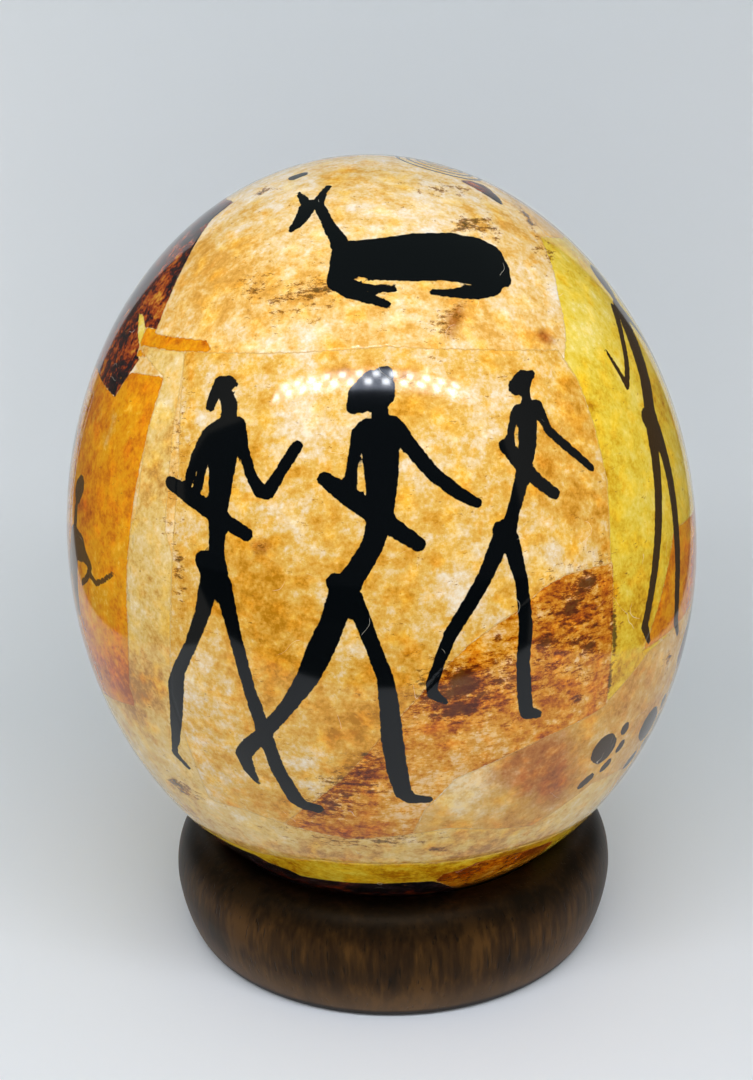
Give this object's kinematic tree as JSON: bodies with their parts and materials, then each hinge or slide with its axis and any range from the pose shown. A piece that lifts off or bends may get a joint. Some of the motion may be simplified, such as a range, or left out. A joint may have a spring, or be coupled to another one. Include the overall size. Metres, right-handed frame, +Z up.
{
  "type": "decorated ostrich egg on a ring stand",
  "caption": "Ostrich egg covered in lacquered paper scraps with rock-painting figures, leaning slightly as it rests upright in the hollow of a turned wooden ring stand.",
  "frame": {"origin": "on the surface it stands on, under the centre of the bounding box's base", "axes": "+Z up, front towards -Y, +X to the right seen from the front; the egg's upper end leans towards -X"},
  "size_m": [0.1262, 0.126, 0.1599],
  "materials": {
    "lacquered_paper_on_shell": "gloss",
    "dark_hardwood": "satin"
  },
  "bodies": {
    "root": {"ostrich_egg": "lacquered_paper_on_shell", "ring_stand": "dark_hardwood"}
  },
  "joints": []
}
